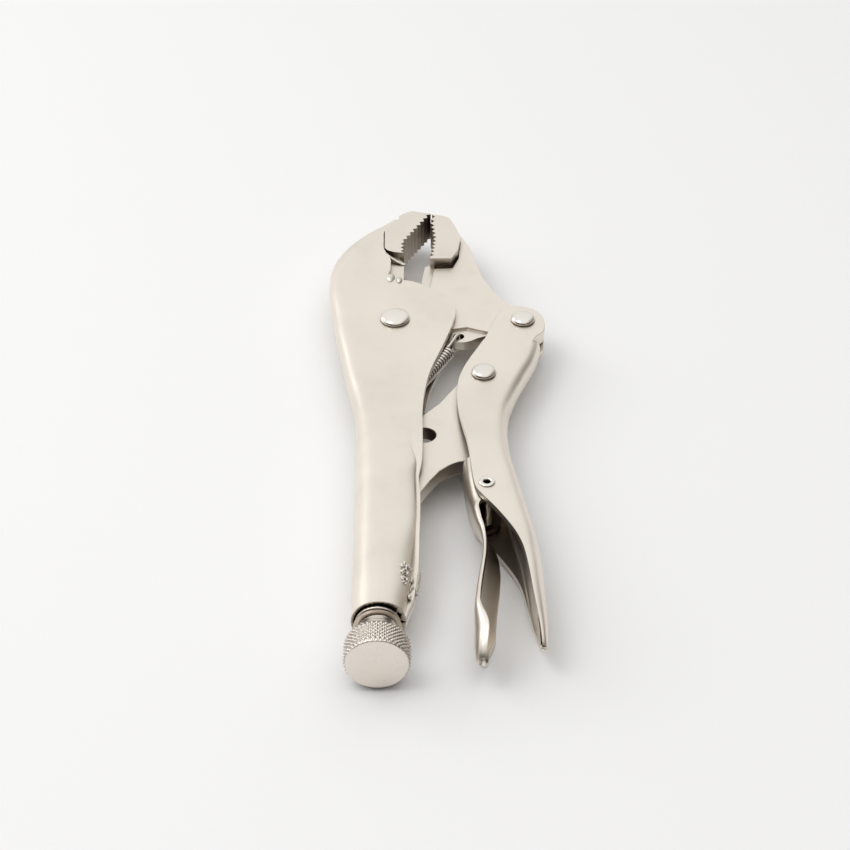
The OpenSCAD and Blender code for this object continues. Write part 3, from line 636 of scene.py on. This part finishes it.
def adjusting_screw():
    """A right-hand thread: one zigzag line, spun a full turn while it climbs one pitch."""
    root = THREAD_R - PITCH * 0.5
    bm = bmesh.new()
    start, end = -KNOB_FRONT - PITCH, -SCREW_TIP + PITCH
    points = []
    count = math.ceil((end - start) / PITCH)
    for i in range(count):
        y = start + i * PITCH
        points += [(root, y), (root, y + 0.18 * PITCH), (THREAD_R, y + 0.5 * PITCH),
                   (THREAD_R, y + 0.62 * PITCH)]
    points.append((root, start + count * PITCH))
    verts = [bm.verts.new((TUBE_X + r, y, 0)) for r, y in points]
    edges = [bm.edges.new(pair) for pair in zip(verts, verts[1:])]
    steps = 48
    bmesh.ops.spin(bm, geom=verts + edges, cent=(TUBE_X, 0, 0), axis=(0, 1, 0),
                   dvec=(0, PITCH / steps, 0), angle=2 * math.pi, steps=steps, use_merge=False)
    bmesh.ops.remove_doubles(bm, verts=bm.verts, dist=0.01)
    for y, way in ((-KNOB_FRONT, -1), (-SCREW_TIP, 1)):
        geom = bm.verts[:] + bm.edges[:] + bm.faces[:]
        bmesh.ops.bisect_plane(bm, geom=geom, plane_co=(0, y, 0), plane_no=(0, way, 0),
                               clear_outer=True)
        rim = [e for e in bm.edges if e.is_boundary and abs(e.verts[0].co.y - y) < 0.01
               and abs(e.verts[1].co.y - y) < 0.01]
        bmesh.ops.holes_fill(bm, edges=rim, sides=0)
    bmesh.ops.recalc_face_normals(bm, faces=bm.faces)
    obj = piece("adjusting_screw_threaded", bm, TURNED, "screw_shank", "turned_steel",
                "adjusting_screw")
    keep_flats(obj)


def adjusting_knob():
    """A diamond knurl between two chamfers, with a flat turned face."""
    around, fine, depth = 44, 6, 0.78
    knurl_from, knurl_to = 1.0, KNOB_LEN - 1.5
    rows = 34
    knurl = [(KNOB_R, knurl_from + (knurl_to - knurl_from) * i / rows) for i in range(rows + 1)]
    profile = ([(0, 0), (4, 0), (8.9, 0), (9.25, 0.06), (9.5, 0.25)] + knurl
               + [(KNOB_R - 1.2, KNOB_LEN - 0.3), (KNOB_R - 1.6, KNOB_LEN), (4.6, KNOB_LEN),
                  (0, KNOB_LEN)])
    base = -KNOB_FRONT - KNOB_LEN
    bm = spun(profile, (TUBE_X, base, 0), (0, 1, 0), around * fine)
    pitch = 2 * math.pi * KNOB_R / around
    for v in bm.verts:
        h = v.co.y - base
        x, z = v.co.x - TUBE_X, v.co.z
        r = math.hypot(x, z)
        if r < KNOB_R - 0.01 or not knurl_from - 0.01 < h < knurl_to + 0.01:
            continue
        turn = math.atan2(z, x) / (2 * math.pi) * around
        a = abs((turn + h / pitch) % 1 - 0.5) * 2
        b = abs((turn - h / pitch) % 1 - 0.5) * 2
        cut = depth * (1 - min(1, 1.5 * min(1 - a, 1 - b)))
        cut += 0.35 * max(0, 0.5 - min(h - knurl_from, knurl_to - h))
        v.co.x = TUBE_X + x * (r - cut) / r
        v.co.z = z * (r - cut) / r
    piece("adjusting_knob_knurled", bm, TURNED, "screw_knob", "turned_steel", "adjusting_knob")


# ---- tension spring ------------------------------------------------------------------

def tension_spring():
    """One wire: hook, close coil and straight tail."""
    line = SPRING_FOOT - SPRING_TOP
    length = line.length
    way = line.normalized()
    side = Vector((-way.y, way.x, 0))
    up = Vector((0, 0, 1))
    mean = COIL_R - WIRE_D / 2
    hook_r, coil_from, coil_to = 3.0, 7.5, length - 6
    path = [SPRING_TOP + way * (1.9 - hook_r * math.cos(math.radians(a)))
            + up * hook_r * math.sin(math.radians(a)) for a in range(-200, 121, 10)]
    steps = TURNS * PER_TURN
    for i in range(steps + 1):
        a = 2 * math.pi * i / PER_TURN + math.pi / 2
        at = coil_from + (coil_to - coil_from) * i / steps
        path.append(SPRING_TOP + way * at + side * mean * math.cos(a) + up * mean * math.sin(a))
    path += [SPRING_TOP + way * f for f in (coil_to + 2, coil_to + 4, length, length + 2)]
    curve = bpy.data.curves.new("spring_wire", "CURVE")
    curve.dimensions = "3D"
    curve.bevel_depth = WIRE_D / 2 * MM
    curve.bevel_resolution = 3
    curve.use_fill_caps = True
    spline = curve.splines.new("POLY")
    spline.points.add(len(path) - 1)
    for point, at in zip(spline.points, path):
        point.co = (*place(*at), 1)
    temp = bpy.data.objects.new("spring_line", curve)
    bpy.context.scene.collection.objects.link(temp)
    mesh = shown_mesh(temp)
    bpy.data.objects.remove(temp)
    obj = dress(bpy.data.objects.new("tension_spring_coiled", mesh), WIRE, None, None)
    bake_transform(obj)
    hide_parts("tension_spring")


# ---- studio ------------------------------------------------------------------------

FLOOR_HALF = 6
TENT_STRENGTH = 1.0
TENT_BEHIND = [(0.0, (0.78, 0.77, 0.76)), (0.3, (0.9, 0.9, 0.89)), (1.0, (1, 1, 1))]
TENT_IN_FRONT = [(0.0, (0.03, 0.025, 0.02)), (0.42, (0.07, 0.06, 0.05)), (0.62, (0.85, 0.84, 0.83)),
                 (1.0, (1, 1, 1))]
TENT_BY_SIDE = [(0.0, (1, 1, 1)), (0.45, (0.98, 0.98, 0.98)), (0.85, (0.3, 0.28, 0.26))]
LAMPS = [("key", (-0.5, -0.1, 0.9), 0.5, 1.6), ("rim", (-0.9, 0.5, 0.5), 0.5, 1.4)]


def studio():
    """A pale floor under a soft tent: light above, dimmer towards the horizon and the sides."""
    bm = bmesh.new()
    bmesh.ops.create_grid(bm, x_segments=1, y_segments=1, size=FLOOR_HALF)
    mesh = bpy.data.meshes.new("floor")
    bm.to_mesh(mesh)
    bm.free()
    floor = bpy.data.objects.new("floor", mesh)
    bpy.context.scene.collection.objects.link(floor)
    mat, _, shader = new_material("pale_floor")
    shader.inputs["Base Color"].default_value = (0.97, 0.97, 0.97, 1)
    shader.inputs["Roughness"].default_value = 0.9
    mesh.materials.append(mat)
    world = bpy.data.worlds.new("studio")
    bpy.context.scene.world = world
    world.use_nodes = True
    tree = world.node_tree
    coords = add(tree, "ShaderNodeTexCoord")
    split = add(tree, "ShaderNodeSeparateXYZ")
    tree.links.new(coords.outputs["Generated"], split.inputs["Vector"])
    behind = ramp(tree, split.outputs["Z"], TENT_BEHIND)
    in_front = ramp(tree, split.outputs["Z"], TENT_IN_FRONT)
    half_y = add(tree, "ShaderNodeMapRange")
    half_y.inputs["From Min"].default_value = -1
    tree.links.new(split.outputs["Y"], half_y.inputs["Value"])
    turn = ramp(tree, half_y.outputs["Result"], [(0.25, (1, 1, 1)), (0.5, (0, 0, 0))])
    height = mix(tree, turn, behind, in_front)
    side = ramp(tree, split.outputs["X"], TENT_BY_SIDE)
    tree.links.new(mix(tree, 1.0, height, side, "MULTIPLY"), tree.nodes["Background"].inputs["Color"])
    tree.nodes["Background"].inputs["Strength"].default_value = TENT_STRENGTH
    for name, at, size, power in LAMPS:
        lamp = bpy.data.lights.new(name, "AREA")
        lamp.size = size
        lamp.energy = power
        obj = bpy.data.objects.new(name, lamp)
        obj.location = at
        obj.rotation_euler = (-Vector(at)).to_track_quat("-Z", "Y").to_euler()
        bpy.context.scene.collection.objects.link(obj)
    bpy.context.scene.view_settings.view_transform = "Standard"


def camera():
    data = bpy.data.cameras.new("camera")
    data.lens = 114.35
    data.sensor_width = 36
    cam = bpy.data.objects.new("camera", data)
    tilt, distance = math.radians(37), 895
    target = Vector((10.39, -54.46, 0))
    back = Vector((0, -math.cos(tilt), math.sin(tilt)))
    cam.location = place(*(target + back * distance))
    cam.rotation_euler = (-back).to_track_quat("-Z", "Y").to_euler()
    bpy.context.scene.collection.objects.link(cam)
    bpy.context.scene.camera = cam


body_shell()
lever_shell()
release_lever()
plates()
welds()
rivets()
adjusting_screw()
adjusting_knob()
tension_spring()
studio()
camera()
